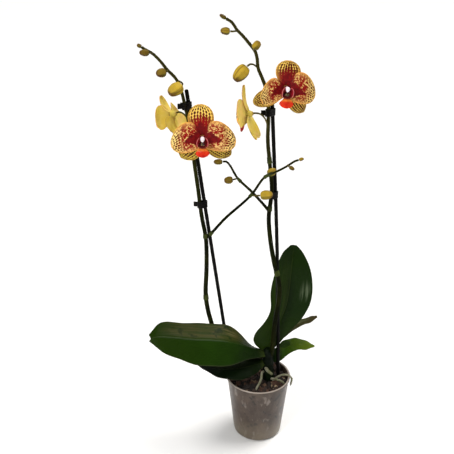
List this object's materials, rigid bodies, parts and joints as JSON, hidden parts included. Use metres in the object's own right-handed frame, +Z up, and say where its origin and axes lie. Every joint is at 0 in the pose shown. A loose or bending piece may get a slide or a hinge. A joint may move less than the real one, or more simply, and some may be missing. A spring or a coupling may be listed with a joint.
{
  "type": "potted orchid",
  "caption": "Moth orchid in a clear taupe grow pot, with flower spikes tied to stakes, spotted yellow blooms, buds, broad leaves, bark and aerial roots",
  "frame": {"origin": "centre of the pot's foot, on the surface it stands on", "axes": "+Z up, -Y towards the viewer of the picture, +X to that viewer's right"},
  "size_m": [0.3101, 0.1314, 0.7697],
  "materials": {
    "pot": "satin",
    "bark": "matte",
    "leaf": "gloss",
    "root": "matte",
    "stem": "satin",
    "bud": "satin",
    "petal": "matte",
    "lip": "satin",
    "column": "satin",
    "stake": "matte",
    "clip": "satin"
  },
  "bodies": {
    "root": {"pot": "pot", "bark_mix": "bark", "crown": "stem", "leaf_large_left": "leaf", "leaf_low_left": "leaf", "leaf_tall_right": "leaf", "leaf_narrow_right": "leaf", "leaf_small_right": "leaf", "root_front": "root", "root_middle": "root", "root_right": "root", "root_rim": "root", "root_back": "root", "stake_left": "stake", "stake_right": "stake", "spike_left": "stem", "bud_left_1": "bud", "bud_left_2": "bud", "bud_left_3": "bud", "bud_left_tip": "bud", "bud_left_branch_1": "bud", "bud_left_branch_2": "bud", "bud_left_branch_3": "bud", "bud_left_branch_tip": "bud", "spike_right": "stem", "bud_right_1": "bud", "bud_right_2": "bud", "bud_right_3": "bud", "bud_right_tip": "bud", "bud_right_branch_1": "bud", "bud_right_branch_tip": "bud", "clip_left_top": "clip", "clip_left_low": "clip", "clip_right_top": "clip", "clip_right_low": "clip", "tepals_left_front": "petal", "lip_left_front": "lip", "column_left_front": "column", "tepals_right_front": "petal", "lip_right_front": "lip", "column_right_front": "column", "tepals_left_rear": "petal", "lip_left_rear": "lip", "column_left_rear": "column", "tepals_right_rear": "petal", "lip_right_rear": "lip", "column_right_rear": "column"}
  },
  "joints": []
}
